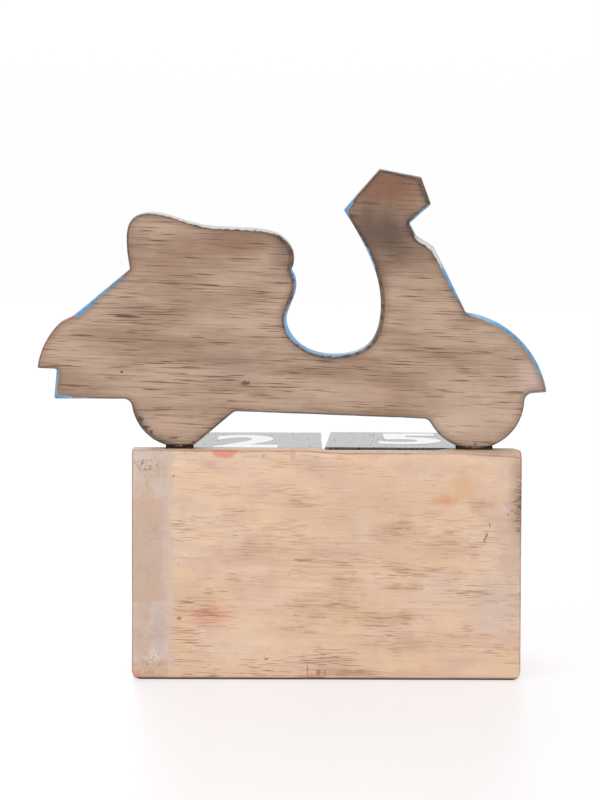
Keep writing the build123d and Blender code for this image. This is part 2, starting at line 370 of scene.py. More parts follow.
def sweep_line(y):
    """The height of a cheek's top edge: a hollow arc up to the back board, then level."""
    run = sweep_back_y - sweep_front_y
    rise = cheek_height - cheek_front_height
    chord = math.hypot(run, rise)
    radius = (chord * chord / 4 + sweep_depth * sweep_depth) / (2 * sweep_depth)
    lift = radius - sweep_depth
    centre_y = sweep_front_y + run / 2 - lift * rise / chord
    centre_z = cheek_front_height + rise / 2 + lift * run / chord
    if y >= sweep_back_y:
        return cheek_height
    return centre_z - math.sqrt(radius * radius - (y - centre_y) ** 2)


def swept(block):
    """Lowers a block's top to the sweep line and leaves its underside alone."""
    top_band = cheek_height - 3 * cheek_rounding
    for vert in block.verts:
        share = step_up(vert.co.z, sweep_still_below, top_band)
        vert.co.z -= (cheek_height - sweep_line(vert.co.y)) * share


top_ridge_y = 23.5
top_drop = 0.05
far_drop = 0.4
hollow_depth = 0.7
hollow_starts_x, hollow_full_x = 3.0, -1.0
hollow_fades_x, hollow_ends_x = -32.0, -40.0
hollow_slowing = 6.0
slump_depth = 1.6
slump_starts_x, slump_full_x = -24.0, -60.0
corner_drop = 0.5
corner_starts_x, corner_full_x = -56.0, -58.5
worn_depth, worn_full_depth = 6.0, 1.0
worn_reach_in = 10.0


def worn_top(block):
    """Rubs the top of the wall behind the cubes.

    It gets lower towards its far side, hollow past its middle and slumped at one end.
    """
    for vert in block.verts:
        x, y, z = vert.co
        across = (max(y, sweep_back_y) - top_ridge_y) / (back_high.y - top_ridge_y)
        near = max(0.0, across)
        slowing = hollow_slowing * near
        hollow = step_up(x, hollow_starts_x + slowing, hollow_full_x - slowing)
        hollow *= step_up(x, hollow_ends_x, hollow_fades_x)
        wear = top_drop + hollow_depth * hollow
        wear += far_drop * min(0.0, across) ** 2
        wear += slump_depth * step_up(x, slump_starts_x, slump_full_x) * near**2
        wear += corner_drop * step_up(x, corner_starts_x, corner_full_x)
        near_top = step_up(z, cheek_height - worn_depth, cheek_height - worn_full_depth)
        vert.co.z -= wear * near_top * step_up(y, sweep_back_y - worn_reach_in, sweep_back_y)


foot_corner = 2.6


def worn_foot(block):
    """Rounds the lower outer arrises, where the tray has been knocked and pushed about most."""
    for vert in block.verts:
        aside = abs(vert.co.x) - (right_high.x - foot_corner)
        below = foot_corner - vert.co.z
        gap = math.hypot(aside, below) - foot_corner
        if aside > 0 and below > 0 and gap > 0:
            share = gap / (gap + foot_corner)
            vert.co.x -= math.copysign(aside * share, vert.co.x)
            vert.co.z += below * share


bare_foot = (0.2, 1.0)
bare_end = (1.0, 1.9)
bare_wall = (sweep_back_y - 1.0, sweep_back_y + 1.0)
bare_top = (cheek_height - 2.0, cheek_height - 1.0)


def left_cheek_red(point):
    """1 where the left cheek is painted and 0 at its bare foot."""
    return step_up(point.z, *bare_foot)


def right_cheek_red(point):
    """The same for the right cheek, which is bare at its back end and on top of the wall too."""
    off_end = step_up(right_high.y - point.y, *bare_end)
    on_top = step_up(point.y, *bare_wall) * step_up(point.z, *bare_top)
    return off_end * step_up(point.z, *bare_foot) * (1 - on_top)


def wiped(finish, middle, reach, depth, **border):
    """A patch on the back of the tray, by its middle x and z and its reach, that deep into it."""
    return finish.patch((middle[0], back_high.y, middle[1]), (reach[0], depth, reach[1]), **border)


seam_middle = (back_high.x, back_high.y, back_high.z / 2)
seam_reach = (2.6, 9.0, 50.0)


def filled_seam(finish):
    """Rubs filler over the seam between the right cheek and the back board."""
    seam = finish.patch(seam_middle, seam_reach, blur=0.9, ragged=0.75, grain=4.0)
    finish.lay(seam, tint(211, 189, 175), 0.75)


def foot_shadow_and_dirt(finish, level):
    """Painted contact shade along the lowest millimetre, where the foot meets the table, with some dirt in
    it.
    """
    finish.lay(finish.fade(level, 0.4, 1.1, 0.95, 0.0), tint(84, 54, 40))


cheek_end_deep = tint(200, 168, 144)
cheek_tones = (tint(214, 186, 165), cheek_end_deep, tray_tones[2])
filler_foot_z = (7.9, 9.9)
filler_low_break_z = (24.5, 25.7)
filler_high_break_z = (55.7, 56.9)
scribble_depth = 3.0
smear_depth = 4.0
scribbles = (
    # middle x and z, reach, colour
    ((53.6, 64.9), (4.8, 1.9), tint(112, 86, 72)),
    ((52.5, 7.4), (4.0, 2.6), tint(232, 222, 216)),
    ((50.5, 4.4), (2.0, 1.4), tint(128, 104, 90)),
)

cheek_wood = Finish("cheek_paint_and_end_grain")
cheek_pores = sawn_wood(cheek_wood, cheek_wood.place, along_y, cheek_tones, tray_figure, 0.5)
cheek_level = cheek_wood.along((0, 0, 1))
cheek_ragged = cheek_wood.mottle(0.35, detail=4, roughness=0.6)
filler_edge = cheek_wood.sum("MULTIPLY_ADD", cheek_ragged, 7.0, cheek_level)
filler_cover = cheek_wood.fade(filler_edge, *filler_foot_z, 0.0, 0.85)
filler_wave = cheek_wood.sum("MULTIPLY_ADD", cheek_ragged, 3.0, cheek_level)
filler_above_low = cheek_wood.fade(filler_wave, *filler_low_break_z)
filler_above_high = cheek_wood.fade(filler_wave, *filler_high_break_z)
filler_between = cheek_wood.sum("SUBTRACT", filler_above_low, filler_above_high)
filler_colour = cheek_wood.mix(filler_between, tint(210, 192, 182), tint(200, 174, 159))
filler_mottle = cheek_wood.mottle((0.22, 0.22, 0.16), (3, 1, 4), detail=5)
filler_thin = cheek_wood.fade(filler_mottle, 0.42, 0.66, 0.0, 0.65)
cheek_wood.lay(filler_cover, cheek_wood.mix(filler_thin, filler_colour, cheek_end_deep))
scribble_line = cheek_wood.sum("SUBTRACT", cheek_wood.mottle(0.7, (9, 2, 5), detail=3), 0.5)
scribble_line = cheek_wood.fade(cheek_wood.sum("ABSOLUTE", scribble_line), 0.012, 0.035, 1.0, 0.0)
for mark_middle, mark_reach, mark_colour in scribbles:
    scribble = wiped(cheek_wood, mark_middle, mark_reach, scribble_depth, blur=0.4)
    cheek_wood.lay(cheek_wood.both(scribble, scribble_line), mark_colour, 0.8)
cheek_specks = cheek_wood.mottle(1.9, (1, 7, 3))
cheek_wood.lay(cheek_wood.fade(cheek_specks, 0.69, 0.74, 0.0, 0.6), tint(118, 92, 78))
cheek_shadow = wiped(
    cheek_wood, (50.2, 16.0), (3.2, 11.0), smear_depth, blur=0.6, ragged=0.4, grain=3.5
)
cheek_wood.lay(cheek_shadow, tint(194, 174, 166), 0.6)
filled_seam(cheek_wood)
red_corner = wiped(cheek_wood, (57.5, 0.8), (3.4, 2.4), smear_depth)
cheek_wood.lay(red_corner, tint(204, 122, 108), 0.5)
cheek_wood.lay(cheek_wood.fade(cheek_wood.noted("arris"), 0.2, 0.9, 0.0, 0.6), tint(142, 110, 94))
# Painted contact shade, with some dirt, along the cheek's foot.
foot_shadow_and_dirt(cheek_wood, cheek_level)
cheek_paint = red_over(cheek_wood, cheek_pores)

all_round = (cheek_rounding,) * 3
cheek_sides = {
    # rounding of the low and of the high sides, and where it is painted
    "right": ((0, cheek_rounding, cheek_rounding), all_round, right_cheek_red),
    "left": (all_round, (0, 0, cheek_rounding), left_cheek_red),
}
for side, (low_rounding, high_rounding, painted) in cheek_sides.items():
    cheek = side + "_cheek"
    cheek_shape = planed_block(*cad_corners(cheek), low_rounding, high_rounding)
    swept(cheek_shape)
    worn_top(cheek_shape)
    worn_foot(cheek_shape)
    brushed_on(cheek_shape, painted)
    set_in_place(cheek + "_painted", cheek_shape, [cheek_paint], "holder", cheek)


# Back board: one wide board with its grain running across, bare on the back and on top.
# It reaches over the left cheek's end and butts against the right cheek. Filler, thinned
# red paint and dirt have been wiped across it, and its top and its feet are worn.
back_rounding = 0.7
back_low_rounding = (back_rounding, 0, back_rounding)
back_high_rounding = (0, back_rounding, back_rounding)
red_skin = (back_low.y + 0.1, back_low.y + 0.8)
red_stops_z = (67.2, 68.2)


def back_board_red(point):
    """1 on the front of the back board, up to its bare top, and 0 elsewhere."""
    return (1 - step_up(point.y, *red_skin)) * (1 - step_up(point.z, *red_stops_z))


back_shape = planed_block(back_low, back_high, back_low_rounding, back_high_rounding)
worn_top(back_shape)
worn_foot(back_shape)
brushed_on(back_shape, back_board_red)

back_wood = Finish("back_board_wood")
back_grain = back_wood.turned((0, 1, 0), 1.6)
back_pores = sawn_wood(back_wood, back_grain, along_x, tray_tones, tray_figure, 0.8, 31)
back_level = back_wood.along((0, 0, 1))
towards_seam = back_wood.fade(back_wood.along((1, 0, 0)), -15.0, 30.0, 0.15, 0.55)
rubbed_pale = back_wood.both(towards_seam, back_wood.fade(back_level, 44.0, 62.0))
back_wood.lay(rubbed_pale, tint(225, 195, 170))
warm_wood = back_wood.mottle((0.05, 0.1, 0.09), (2, 6, 1), detail=3)
back_wood.lay(back_wood.fade(warm_wood, 0.45, 0.66, 0.0, 0.6), tint(229, 194, 160))
pink_wood = back_wood.mottle((0.07, 0.1, 0.12), (9, 3, 7), detail=3)
back_wood.lay(back_wood.fade(pink_wood, 0.48, 0.66, 0.0, 0.7), tint(212, 178, 158))

stain_depth = 9.0
stain_spread = 1.25
stain_border = {"blur": 0.95, "ragged": 0.6, "grain": 3.5}
wood_stains = (
    # middle x and z, reach, strength, colour
    ((-20.0, 46.0), (40.0, 24.0), 0.5, tint(212, 178, 150)),
    ((24.0, 11.0), (20.0, 10.0), 0.6, tint(232, 205, 179)),
    ((-56.0, 34.0), (5.0, 20.0), 0.6, tint(204, 174, 156)),
    ((35.6, 19.6), (8.0, 4.2), 0.5, tint(221, 152, 126)),
    ((-35.4, 54.2), (5.6, 2.0), 0.65, tint(212, 140, 100)),
    ((-40.0, 58.6), (7.0, 4.6), 0.65, tint(216, 168, 124)),
    ((-57.6, 52.5), (3.6, 12.5), 0.9, tint(136, 106, 96)),
    ((-58.3, 54.0), (1.0, 10.0), 0.9, tint(92, 74, 70)),
    ((-57.2, 64.5), (3.0, 4.5), 0.6, tint(152, 118, 104)),
    ((-54.5, 48.0), (6.5, 16.0), 0.8, tint(204, 176, 160)),
    ((-54.5, 66.0), (5.0, 5.0), 0.6, tint(206, 178, 162)),
    ((-11.4, 47.2), (2.6, 8.0), 0.5, tint(222, 197, 182)),
    ((-17.0, 43.6), (6.0, 1.6), 0.4, tint(218, 172, 152)),
    ((-32.4, 28.1), (7.0, 7.0), 0.5, tint(217, 190, 175)),
    ((45.0, 66.2), (3.5, 3.0), 0.6, tint(230, 208, 188)),
    ((43.0, 17.0), (3.2, 11.0), 0.4, tint(230, 188, 144)),
    ((-7.0, 2.2), (10.0, 1.6), 0.6, tint(178, 128, 100)),
    ((4.5, 1.0), (6.0, 1.0), 0.65, tint(190, 112, 92)),
)
for stain_middle, (stain_width, stain_height), stain_strength, stain_colour in wood_stains:
    stain_reach = (stain_width * stain_spread, stain_height * stain_spread)
    stain = wiped(back_wood, stain_middle, stain_reach, stain_depth, **stain_border)
    back_wood.lay(stain, stain_colour, stain_strength)
filler_patch = wiped(
    back_wood, (-50.4, 22.6), (9.6, 13.6), stain_depth, blur=0.75, ragged=0.55, grain=3.5
)
back_wood.lay(filler_patch, tint(209, 189, 178), 0.75)

grain_stains = (
    # middle x and z, reach, strength
    ((-20.4, 46.7), (7.0, 3.0), 0.9),
    ((26.6, 51.2), (6.5, 3.0), 0.6),
    ((-7.0, 29.6), (10.0, 3.2), 0.7),
    ((-22.4, 28.1), (9.0, 1.8), 0.9),
    ((-18.5, 18.8), (16.0, 3.6), 0.95),
    ((-22.0, 10.5), (14.0, 4.0), 0.5),
    ((10.7, 15.2), (12.0, 3.0), 0.65),
    ((25.0, 39.5), (15.0, 6.0), 0.4),
    ((-2.0, 21.0), (22.0, 8.0), 0.4),
    ((-46.0, 53.0), (7.0, 3.2), 0.6),
    ((38.0, 25.0), (10.0, 4.0), 0.4),
    ((-57.8, 52.0), (2.6, 14.0), 0.7),
)
stained = 0.0
for stain_middle, stain_reach, stain_strength in grain_stains:
    stain = wiped(back_wood, stain_middle, stain_reach, stain_depth, **stain_border)
    stained = back_wood.sum("MAXIMUM", back_wood.both(stain, stain_strength), stained)
back_wood.lay(stained, tint(190, 152, 118), 0.5)
dark_streaks = back_wood.streaks(back_grain, along_x, 9, 0.42, 17)
dark_streaks = back_wood.both(stained, back_wood.fade(dark_streaks, 0.5, 0.64, 0.0, 0.85))
back_wood.lay(dark_streaks, tint(138, 98, 72))
open_pores = back_wood.both(back_pores, back_wood.fade(back_level, 22.0, 46.0, 0.6, 0.2))
back_wood.lay(open_pores, tint(150, 106, 80))
filled_seam(back_wood)
filler_lap = back_wood.patch(seam_middle, (1.5, 9.0, 90.0), blur=0.5, ragged=0.9, grain=4.0)
back_wood.lay(filler_lap, tint(210, 187, 171), 0.75)

drip_depth = 2.4
paint_drips = (
    # middle x and z, reach, colour
    ((30.6, 69.8), (5.0, 2.9), tint(222, 132, 116)),
    ((10.2, 68.8), (1.0, 3.0), tint(212, 172, 148)),
)
for drip_middle, drip_reach, drip_colour in paint_drips:
    drip = wiped(back_wood, drip_middle, drip_reach, drip_depth, blur=0.35, ragged=0.45, grain=1.6)
    back_wood.lay(drip, drip_colour, 0.8)

mark_depth = 4.0
small_marks = (
    # middle x and z, reach
    ((44.2, 18.6), (1.1, 0.6)),
    ((-30.6, 69.0), (1.0, 0.5)),
    ((-48.05, 44.1), (0.45, 0.9)),
    ((-47.7, 43.2), (0.45, 0.9)),
    ((-47.35, 42.3), (0.45, 0.9)),
    ((-48.9, 47.0), (0.35, 0.9)),
    ((19.0, 67.8), (0.4, 0.4)),
    ((5.6, 3.0), (0.25, 2.4)),
    ((2.4, 2.2), (0.9, 1.2)),
    ((0.4, 2.0), (0.3, 1.6)),
    ((18.0, 6.3), (0.8, 0.5)),
    ((-54.4, 50.2), (0.6, 0.4)),
    ((-55.6, 51.4), (0.5, 0.4)),
    ((45.9, 61.7), (0.5, 0.4)),
)
for mark_middle, mark_reach in small_marks:
    mark = wiped(back_wood, mark_middle, mark_reach, mark_depth, blur=0.6, ragged=0.6, grain=0.7)
    back_wood.lay(mark, tint(126, 90, 68), 0.65)
back_specks = back_wood.mottle(1.5, (8, 2, 6))
back_wood.lay(back_wood.fade(back_specks, 0.7, 0.75, 0.0, 0.6), tint(130, 96, 78))
dirty_edge = wiped(
    back_wood, (-58.4, 52.5), (2.8, 13.0), stain_depth, blur=0.7, ragged=0.6, grain=1.6
)
edge_dashes = back_wood.streaks(back_wood.place, along_x, 3.0, 0.5, 23)
edge_dashes = back_wood.both(dirty_edge, back_wood.fade(edge_dashes, 0.48, 0.58, 0.0, 0.85))
back_wood.lay(edge_dashes, tint(84, 68, 64))
worn_end = back_wood.patch((-48.0, 23.5, 68.6), (15.0, 9.0, 2.2), blur=0.7, ragged=0.5, grain=1.6)
back_wood.lay(worn_end, tint(174, 155, 135), 0.75)

back_arris = back_wood.noted("arris")
top_line = back_wood.streaks(back_wood.place, along_x, 22, 3.0, 2, detail=3)
top_line = back_wood.both(back_arris, back_wood.fade(top_line, 0.38, 0.56, 0.1, 0.85))
top_line = back_wood.both(top_line, back_wood.fade(back_level, 60.0, 64.0))
top_red = back_wood.mix(back_wood.fade(warm_wood, 0.4, 0.6), tint(156, 104, 84), tint(206, 118, 102))
back_wood.lay(top_line, top_red)
# Darker along the back board's arrises, in streaks.
arris_darker = back_wood.streaks(back_wood.place, along_x, 9, 1.2, 5, detail=4)
arris_darker = back_wood.both(back_arris, back_wood.fade(arris_darker, 0.4, 0.65, 0.15, 0.7))
back_wood.lay(arris_darker, tint(150, 112, 90))
# Painted contact shade, with some dirt, along the back board's foot.
foot_shadow_and_dirt(back_wood, back_level)
back_paint = red_over(back_wood, back_pores, gloss=0.35)
set_in_place("back_board_worn", back_shape, [back_paint], "holder", "back_board")


# Brads and filler: steel brads hold the boards at the corners and along the floor board.
# Their heads are sunk, and grey filler is rubbed level over them.
steel = Finish("brad_steel")
steel_scratches = steel.mottle(3, detail=3)
steel.colour = steel.mix(steel_scratches, tint(150, 148, 146), tint(118, 112, 106))
steel.shader.inputs["Metallic"].default_value = 1.0
brad_steel = steel.coat(steel.fade(steel_scratches, 0.3, 0.7, 0.3, 0.5))

filler = Finish("rubbed_filler")
plug_mottle = filler.mottle(0.9, detail=4)
filler.colour = filler.mix(filler.fade(plug_mottle, 0.35, 0.65), tint(214, 192, 178), tint(209, 183, 166))
filler.relief(plug_mottle, 0.06)
rubbed_filler = filler.coat(0.75)


def dress(node, finish):
    """Gives a CAD piece that keeps its shape a finish."""
    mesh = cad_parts[node].data
    mesh.materials.clear()
    mesh.materials.append(finish)


dress("corner_brads", brad_steel)
dress("floor_brads", brad_steel)
dress("filler_plugs", rubbed_filler)


# Wheel dowels: two hidden birch dowels, half in the wheels and half in the back board.
# They give the scooter's stand: its plane runs through both of them.
dowel_tones = (tint(226, 204, 168), tint(206, 178, 138), tint(160, 126, 90))
dowel_wood = Finish("birch_dowel")
dowel_pores = sawn_wood(dowel_wood, dowel_wood.place, along_z, dowel_tones, tray_figure, 0.5)
dowel_wood.relief(dowel_pores, 0.03)
birch_dowel = dowel_wood.coat(0.6)
dress("rear_wheel_dowel", birch_dowel)
dress("front_wheel_dowel", birch_dowel)


# Scooter board: a scooter's outline sawn by hand from thin open-pored hardwood, with its
# rim rubbed round. The back is bare and smudged dark along the rim, the sawn edges carry
# the paint of the front, painted paler blue in places as a painted highlight where they
# face the light, and the front is painted in plain colours.
rear_foot = sum(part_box("rear_wheel_dowel"), Vector()) / 2 / mm
front_foot = sum(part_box("front_wheel_dowel"), Vector()) / 2 / mm
stand_middle = (rear_foot + front_foot) / 2
to_nose = (front_foot - rear_foot).normalized()
to_back = to_nose.cross(Vector((0, 0, 1)))
scooter_low, scooter_high = cad_corners("scooter_board")
half_thickness = (scooter_high.y - scooter_low.y) / 2
outline_depth = 2.4
outline_step = 0.45


def on_scooter(length, height, depth):
    """A place given by its length towards the nose, its height and its depth from the middle."""
    return stand_middle + to_nose * length + Vector((0, 0, height)) + to_back * depth


def cad_outline():
    """The sawn outline of the CAD scooter: evenly spaced points from the tail over the top."""
    solid = bmesh.new()
    solid.from_mesh(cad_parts["scooter_board"].data)
    bmesh.ops.remove_doubles(solid, verts=solid.verts, dist=1e-7)
    everything = solid.verts[:] + solid.edges[:] + solid.faces[:]
    slice_middle = (stand_middle + to_back * outline_depth) * mm
    cut = bmesh.ops.bisect_plane(solid, geom=everything, plane_co=slice_middle, plane_no=to_back)
    links = {}
    for edge in cut["geom_cut"]:
        if isinstance(edge, bmesh.types.BMEdge):
            for vert in edge.verts:
                links.setdefault(vert, []).append(edge.other_vert(vert))
    flat = {}
    for vert in links:
        flat[vert] = ((vert.co / mm - stand_middle).dot(to_nose), vert.co.z / mm - stand_middle.z)
    start = min(flat, key=lambda vert: flat[vert])
    chain = [start, links[start][0]]
    while chain[-1] is not start:
        chain.append(next(vert for vert in links[chain[-1]] if vert is not chain[-2]))
    corners = np.array([flat[vert] for vert in chain])
    solid.free()
    area = np.sum(corners[:-1, 0] * corners[1:, 1] - corners[1:, 0] * corners[:-1, 1])
    if area > 0:
        corners = corners[::-1]
    travelled = np.concatenate(([0], np.cumsum(np.hypot(*np.diff(corners, axis=0).T))))
    count = round(travelled[-1] / outline_step)
    stops = np.linspace(0, travelled[-1], count, endpoint=False)
    return np.column_stack([np.interp(stops, travelled, corners[:, axis]) for axis in (0, 1)])


def evened(rows, passes):
    """Rubs a closed row of values smooth."""
    for _ in range(passes):
        rows = 0.5 * rows + 0.25 * np.roll(rows, 1, axis=0) + 0.25 * np.roll(rows, -1, axis=0)
    return rows


def rise_and_fall(point, layer, span):
    """A smooth unevenness over flat points, from -1 to 1. Each layer has another one."""
    return noise.noise(Vector((*point, layer)) / span)


saw_slack = 0.04
saw_wave, saw_wave_span = 0.04, 5
saw_shake, saw_shake_span = 0.03, 1.6
usual_rim, rim_change, rim_change_span = 0.4, 0.2, 9
saw_line = cad_outline()
saw_heading = np.roll(saw_line, -1, axis=0) - np.roll(saw_line, 1, axis=0)
saw_heading /= np.hypot(*saw_heading.T)[:, None]
saw_outward = np.column_stack((-saw_heading[:, 1], saw_heading[:, 0]))
saw_count = len(saw_line)
saw_wobble = []
for point in saw_line:
    wave = saw_wave * rise_and_fall(point, 0, saw_wave_span)
    saw_wobble.append(saw_slack + wave + saw_shake * rise_and_fall(point, 9, saw_shake_span))
saw_line -= saw_outward * np.array(saw_wobble)[:, None]
rim_radius = [usual_rim + rim_change * rise_and_fall(point, 4, rim_change_span) for point in saw_line]

tyre_black = tint(38, 34, 32)
body_blue = tint(60, 138, 188)
seat_cream = tint(206, 202, 198)
lamp_red = tint(172, 50, 48)
bare_edge = tint(96, 74, 62)
edge_runs = (
    # where the run starts (length, height), its colour, how far the paint laps over the
    # back and how broad the dark smudge beside it is, in millimetres
    ((-81.9, 14.9), body_blue, 1.2, 0.0),
    ((-81.75, 17.2), tint(150, 160, 168), 0.35, 0.3),
    ((-81.5, 19.6), body_blue, 0.9, 0.1),
    ((-81.2, 23.9), bare_edge, 0.0, 0.5),
    ((-87.0, 24.0), lamp_red, 0.16, 0.5),
    ((-76.1, 39.7), body_blue, 1.1, 0.0),
    ((-70.0, 44.5), tint(72, 124, 152), 0.75, 0.15),
    ((-60.5, 52.5), bare_edge, 0.0, 0.85),
    ((-52.6, 70.8), seat_cream, 0.25, 0.75),
    ((-38.0, 67.5), seat_cream, 0.45, 0.7),
    ((-16.5, 65.0), seat_cream, 0.2, 1.6),
    ((-11.5, 61.0), bare_edge, 0.0, 1.9),
    ((-10.8, 53.8), body_blue, 0.5, 1.25),
    # From the seat's underside down to the footwell floor the blue is painted paler: a painted highlight
    # where the edge faces up into the light.
    ((-9.6, 47.0), tint(84, 142, 184), 0.3, 1.5),
    ((-12.6, 40.5), tint(96, 164, 212), 0.8, 1.0),
    ((-9.0, 33.0), tint(96, 156, 200), 0.35, 1.15),
    ((4.0, 28.8), tint(112, 150, 178), 0.1, 1.3),
    ((12.6, 31.7), bare_edge, 0.0, 1.5),
    ((15.0, 48.0), bare_edge, 0.0, 1.45),
    ((14.6, 54.0), tint(84, 150, 196), 0.4, 1.0),
    ((10.4, 65.0), bare_edge, 0.0, 1.3),
    ((7.4, 70.2), body_blue, 0.95, 0.4),
    ((7.6, 75.2), bare_edge, 0.0, 0.95),
    ((22.0, 83.0), bare_edge, 0.0, 1.2),
    ((27.4, 82.2), bare_edge, 0.0, 1.9),
    ((30.6, 73.4), body_blue, 0.5, 0.8),
    ((24.6, 68.0), tint(128, 140, 150), 0.2, 1.6),
    ((26.7, 63.9), seat_cream, 0.95, 0.8),
    ((34.0, 56.0), body_blue, 0.8, 0.35),
    ((39.6, 44.4), bare_edge, 0.0, 0.9),
    # The fender's outer edge is painted paler blue: a painted highlight where it faces the light.
    ((42.6, 40.6), tint(120, 176, 216), 0.6, 0.3),
    ((50.0, 37.5), body_blue, 0.75, 0.2),
    ((64.4, 21.0), tint(120, 130, 128), 0.35, 0.6),
    ((58.0, 17.0), bare_edge, 0.05, 0.6),
    ((46.0, 0.6), tyre_black, 0.2, 0.85),
    ((36.0, 3.0), bare_edge, 0.05, 0.8),
    ((30.5, 8.9), body_blue, 0.1, 0.6),
    ((-30.0, 11.5), tyre_black, 0.1, 0.85),
    ((-46.0, 0.3), tyre_black, 0.3, 1.2),
    ((-57.0, 12.0), bare_edge, 0.05, 0.65),
    ((-70.0, 14.9), tint(150, 178, 200), 0.25, 0.4),
    ((-77.0, 14.9), body_blue, 1.1, 0.1),
)
colour_passes, lap_passes, smudge_passes = 12, 10, 30
run_marks = [int(np.argmin(np.hypot(*(saw_line - run[0]).T))) for run in edge_runs]
run_of = np.zeros(saw_count, int)
for number, mark in enumerate(run_marks):
    upto = run_marks[(number + 1) % len(run_marks)]
    span = (upto - mark) % saw_count
    run_of[(mark + np.arange(span)) % saw_count] = number
edge_colours = evened(np.array([edge_runs[number][1] for number in run_of]), colour_passes)
paint_laps = evened(np.array([edge_runs[number][2] for number in run_of]), lap_passes)
smudge_widths = evened(np.array([edge_runs[number][3] for number in run_of]), smudge_passes)
outline_finder = kdtree.KDTree(saw_count)
for number, point in enumerate(saw_line):
    outline_finder.insert((*point, 0), number)
outline_finder.balance()

inset_rows = (
    # how far in from the saw line, and at every how many of its points
    (0.9, 1),
    (1.5, 2),
    (2.3, 4),
    (3.4, 4),
)
row_room = 0.94
inner_room = inset_rows[-1][0] + 1.2
inner_spacing = 3.2
inner_stray = 0.8


def inside_outline(point):
    """Whether a flat point lies within the saw line."""
    ahead = np.roll(saw_line, -1, axis=0)
    crosses = (saw_line[:, 1] > point[1]) != (ahead[:, 1] > point[1])
    reach = (ahead[:, 0] - saw_line[:, 0]) * (point[1] - saw_line[:, 1])
    reach = reach / np.where(crosses, ahead[:, 1] - saw_line[:, 1], 1.0) + saw_line[:, 0]
    return bool(np.count_nonzero(crosses & (point[0] < reach)) % 2)


def face_points():
    """Points of the flat faces: rows beside the rim, then a loose scatter over the middle."""
    points = []

    def keep(spot, room):
        if outline_finder.find((*spot, 0))[2] > room and inside_outline(spot):
            points.append(spot)

    for row, every in inset_rows:
        for point, outward in zip(saw_line[::every], saw_outward[::every]):
            keep(point - outward * row, row * row_room)
    lows, highs = saw_line.min(axis=0), saw_line.max(axis=0)
    for length in np.arange(lows[0], highs[0], inner_spacing):
        for height in np.arange(lows[1], highs[1], inner_spacing):
            aside = rise_and_fall((length, height), 2.5, 1)
            upward = rise_and_fall((length, height), 8.5, 1)
            keep(np.array((length + aside * inner_stray, height + upward * inner_stray)), inner_room)
    return points


scooter_shape = bmesh.new()
rim_note = scooter_shape.verts.layers.float.new("rim")
wall_note = scooter_shape.verts.layers.float.new("wall")
lap_note = scooter_shape.verts.layers.float.new("lap")
smudge_note = scooter_shape.verts.layers.float.new("smudge")
colour_note = scooter_shape.verts.layers.float_color.new("edge_colour")
colour_stray = 7
stray_span, stray_depth = 4, 1.6


def scooter_vertex(length, height, depth, rim, wall):
    """A point of the scooter, with its notes.

    The colours stray along the edge, so that no run of paint ends straight.
    """
    vert = scooter_shape.verts.new(on_scooter(length, height, depth))
    nearest = outline_finder.find((length, height, 0))[1]
    stray = noise.noise(Vector((length / stray_span, height / stray_span, depth / stray_depth)))
    vert[rim_note] = rim
    vert[wall_note] = wall
    vert[lap_note] = paint_laps[nearest]
    vert[smudge_note] = smudge_widths[nearest]
    vert[colour_note] = edge_colours[(nearest + round(colour_stray * stray)) % saw_count]
    return vert


rim_turns = (0, 30, 60, 90)
wall_shares = (0.45, 0.0, -0.45)
wall_wander, wall_wander_span = 0.05, 7
face_sink, face_sink_span = 0.04, 14
profile = []
for turn in rim_turns:
    sine, cosine = math.sin(math.radians(turn)), math.cos(math.radians(turn))
    profile.append((1 - sine, half_thickness, -(1 - cosine), sine * sine))
for share in wall_shares:
    profile.append((0.0, half_thickness * share, 0.0, 1.0))
rounded_rim = reversed(profile[: len(rim_turns)])
profile += [(inset, -depth, -sink, wall) for inset, depth, sink, wall in rounded_rim]
rows = []
for inset, depth, sink, wall in profile:
    row = []
    for point, outward, radius in zip(saw_line, saw_outward, rim_radius):
        flat_point = (point[0] / wall_wander_span, point[1] / wall_wander_span)
        wander = abs(wall_wander * rise_and_fall(flat_point, depth, 1) * wall)
        length, height = point - outward * (inset * radius + wander)
        row.append(scooter_vertex(length, height, depth + sink * radius, inset * radius, wall))
    rows.append(row)
for row, following in zip(rows, rows[1:]):
    for number in range(saw_count):
        ahead = (number + 1) % saw_count
        scooter_shape.faces.new((row[number], row[ahead], following[ahead], following[number]))

rim_spots = [point - outward * radius for point, outward, radius in zip(saw_line, saw_outward, rim_radius)]
spots = [Vector(spot) for spot in rim_spots + face_points()]
fence = [(number, (number + 1) % saw_count) for number in range(saw_count)]
laid_points, _, laid_faces, origins, _, _ = geometry.delaunay_2d_cdt(spots, fence, [], 1, 1e-6)
for row, depth, painted in ((rows[0], half_thickness, 0), (rows[-1], -half_thickness, 1)):
    face_verts = []
    for spot, origin in zip(laid_points, origins):
        if origin and origin[0] < saw_count:
            face_verts.append(row[origin[0]])
            continue
        sunk = math.copysign(face_sink * (1 + rise_and_fall(spot, depth, face_sink_span)), depth)
        rim = outline_finder.find((spot.x, spot.y, 0))[2]
        face_verts.append(scooter_vertex(spot.x, spot.y, depth - sunk, rim, 0.0))
    for corners in laid_faces:
        made = scooter_shape.faces.new([face_verts[corner] for corner in corners])
        made.material_index = painted
bmesh.ops.recalc_face_normals(scooter_shape, faces=scooter_shape.faces)

